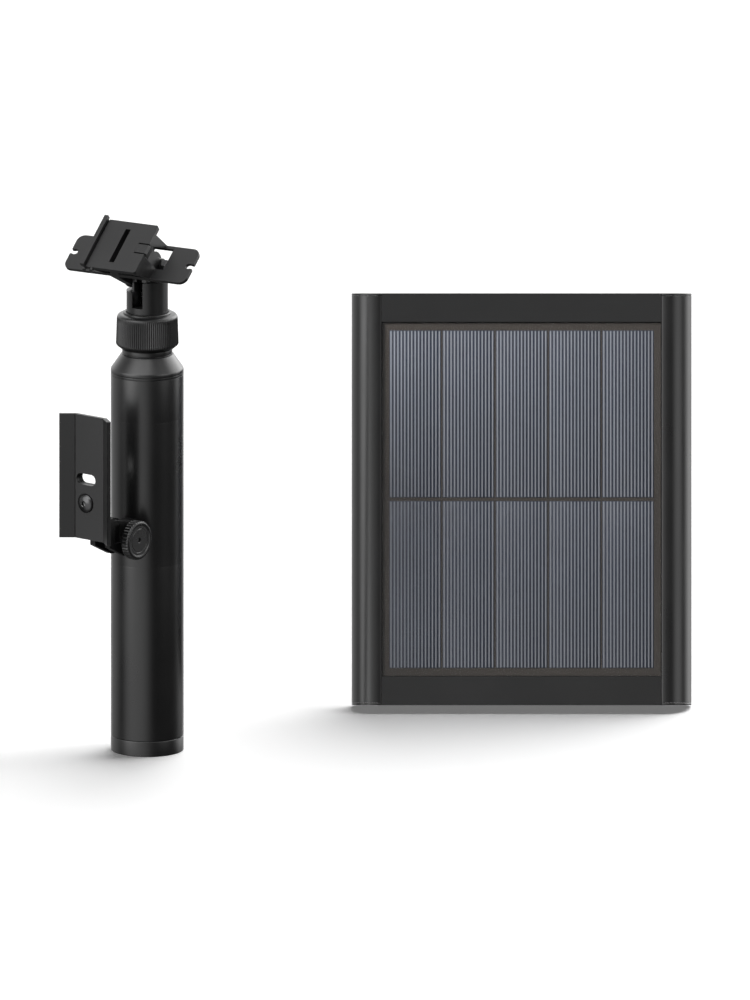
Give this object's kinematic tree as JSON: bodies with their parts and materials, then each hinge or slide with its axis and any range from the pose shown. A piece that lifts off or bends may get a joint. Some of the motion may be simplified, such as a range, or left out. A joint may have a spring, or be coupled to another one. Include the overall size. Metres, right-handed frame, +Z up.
{
  "type": "solar camera mount kit",
  "caption": "Pole-top mount with a tilting head, a locking collar and a hinged camera bracket, beside a flat framed solar panel that clips to the head.",
  "frame": {"origin": "centre of the pole's lower end, on its axis, at the mouth of the pole socket", "axes": "+Z up along the pole, -Y out through the camera plate; the loose panel stands at +X +Y with its face turned 39 degrees from -Y towards +X"},
  "size_m": [0.1908, 0.3309, 0.2756],
  "materials": {
    "pole_coat": "satin powder coat",
    "cap_plastic": "satin moulded",
    "collar_plastic": "ribbed, satin",
    "head_plastic": "fine grain",
    "bracket_plate_coat": "satin powder coat",
    "bracket_plastic": "satin moulded",
    "steel": "zinc plated",
    "black_steel": "blackened",
    "spring_steel": "bright",
    "brass": "plain",
    "frame_plastic": "satin moulded",
    "back_plastic": "fine grain",
    "cover_glass": "clear",
    "cell": "silicon cells",
    "cell_board": "laminate",
    "seal": "soft",
    "circuit": "coated board",
    "parts": "moulded components"
  },
  "bodies": {
    "pole": {"pole_tube": "pole_coat", "pole_coupler": "cap_plastic", "shoulder_cap": "cap_plastic", "neck_collet": "cap_plastic", "hinge_block": "bracket_plastic", "hinge_through_bolts": "black_steel", "bolt_saddle_washers": "black_steel"},
    "collar": {"lock_collar": "collar_plastic"},
    "neck": {"neck_fork": "head_plastic", "neck_retaining_clip": "spring_steel", "detent_spring": "spring_steel", "detent_plunger": "black_steel", "head_pivot_bolt": "black_steel", "head_pivot_nut": "black_steel"},
    "head": {"head_bracket": "head_plastic", "slide_plate": "head_plastic"},
    "latch": {"latch_tab": "head_plastic"},
    "bracket": {"camera_plate": "bracket_plate_coat", "bracket_yoke": "bracket_plastic", "camera_plate_screw": "black_steel", "camera_plate_nut": "steel", "hinge_bolt": "black_steel", "hinge_washers": "bracket_plastic"},
    "knob": {"thumb_knob": "bracket_plastic", "knob_insert": "brass"},
    "panel": {"rail_left": "frame_plastic", "rail_right": "frame_plastic", "rail_end_caps": "frame_plastic", "frame_bar_top": "frame_plastic", "frame_bar_bottom": "frame_plastic", "frame_screws": "steel", "cover_glass": "cover_glass", "cells_upper_row": "cell", "cells_lower_row": "cell", "cell_board": "cell_board", "glass_seal": "seal", "junction_board": "circuit", "board_components": "parts", "cable_inlet": "back_plastic", "inlet_seal": "seal", "back_cover": "back_plastic", "back_cover_screws": "black_steel", "mount_receiver": "back_plastic", "receiver_screws": "black_steel"}
  },
  "joints": [
    {"name": "collar_turn", "type": "hinge", "parent": "pole", "child": "collar", "pos_m": [0, 0, 0.2155], "axis": [0, 0, 1], "continuous": true},
    {"name": "head_pan", "type": "hinge", "parent": "pole", "child": "neck", "pos_m": [0, 0, 0.2155], "axis": [0, 0, 1], "continuous": true},
    {"name": "head_tilt", "type": "hinge", "parent": "neck", "child": "head", "pos_m": [0, 0, 0.2477], "axis": [0.9877, 0.1564, 0], "range_deg": [-38, 18]},
    {"name": "latch_press", "type": "hinge", "parent": "head", "child": "latch", "pos_m": [0.01348, -0.02438, 0.26222], "axis": [-0.1229, 0.7762, 0.6184], "range_deg": [0, 8], "stiffness_Nm_per_rad": 0.05},
    {"name": "bracket_fold", "type": "hinge", "parent": "pole", "child": "bracket", "pos_m": [0.0038, -0.02755, 0.1145], "axis": [1, 0, 0], "range_deg": [0, 100]},
    {"name": "knob_turn", "type": "hinge", "parent": "bracket", "child": "knob", "pos_m": [0.0138, -0.02755, 0.1145], "axis": [1, 0, 0], "continuous": true},
    {"name": "panel_lift", "type": "slide", "parent": "pole", "child": "panel", "axis": [0, 0, 1], "range_m": [0, 0.1]}
  ]
}
